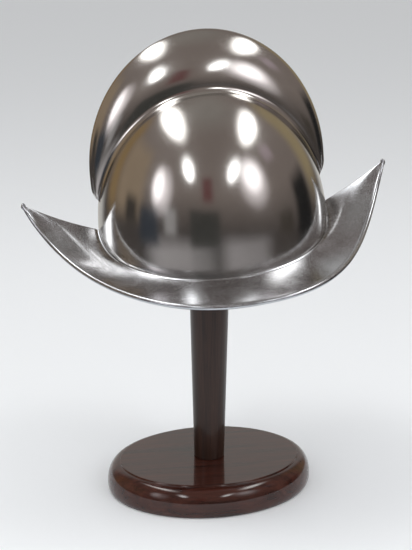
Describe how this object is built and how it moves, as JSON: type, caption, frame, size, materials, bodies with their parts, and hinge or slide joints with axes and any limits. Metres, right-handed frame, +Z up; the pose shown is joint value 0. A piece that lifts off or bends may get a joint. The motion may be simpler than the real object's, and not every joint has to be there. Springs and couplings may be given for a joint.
{
  "type": "comb morion helmet on a wooden display stand",
  "caption": "Open-faced steel helmet with a tall comb and a boat-shaped brim that rises to a point at front and back, resting on a plain dark wooden stand.",
  "frame": {"origin": "centre of the underside of the stand's base", "axes": "+Z up, X along the helmet from its front tip at -X to its back tip at +X, Y across it"},
  "size_m": [0.3458, 0.2844, 0.449],
  "materials": {
    "polished_steel": "polished, near a mirror",
    "satin_steel": "satin, faintly mottled",
    "dark_wood": "dark red-brown stain under gloss varnish"
  },
  "bodies": {
    "root": {"skull": "polished_steel", "brim": "satin_steel", "stand_base": "dark_wood", "stand_post": "dark_wood", "stand_head_rest": "dark_wood"}
  },
  "joints": []
}
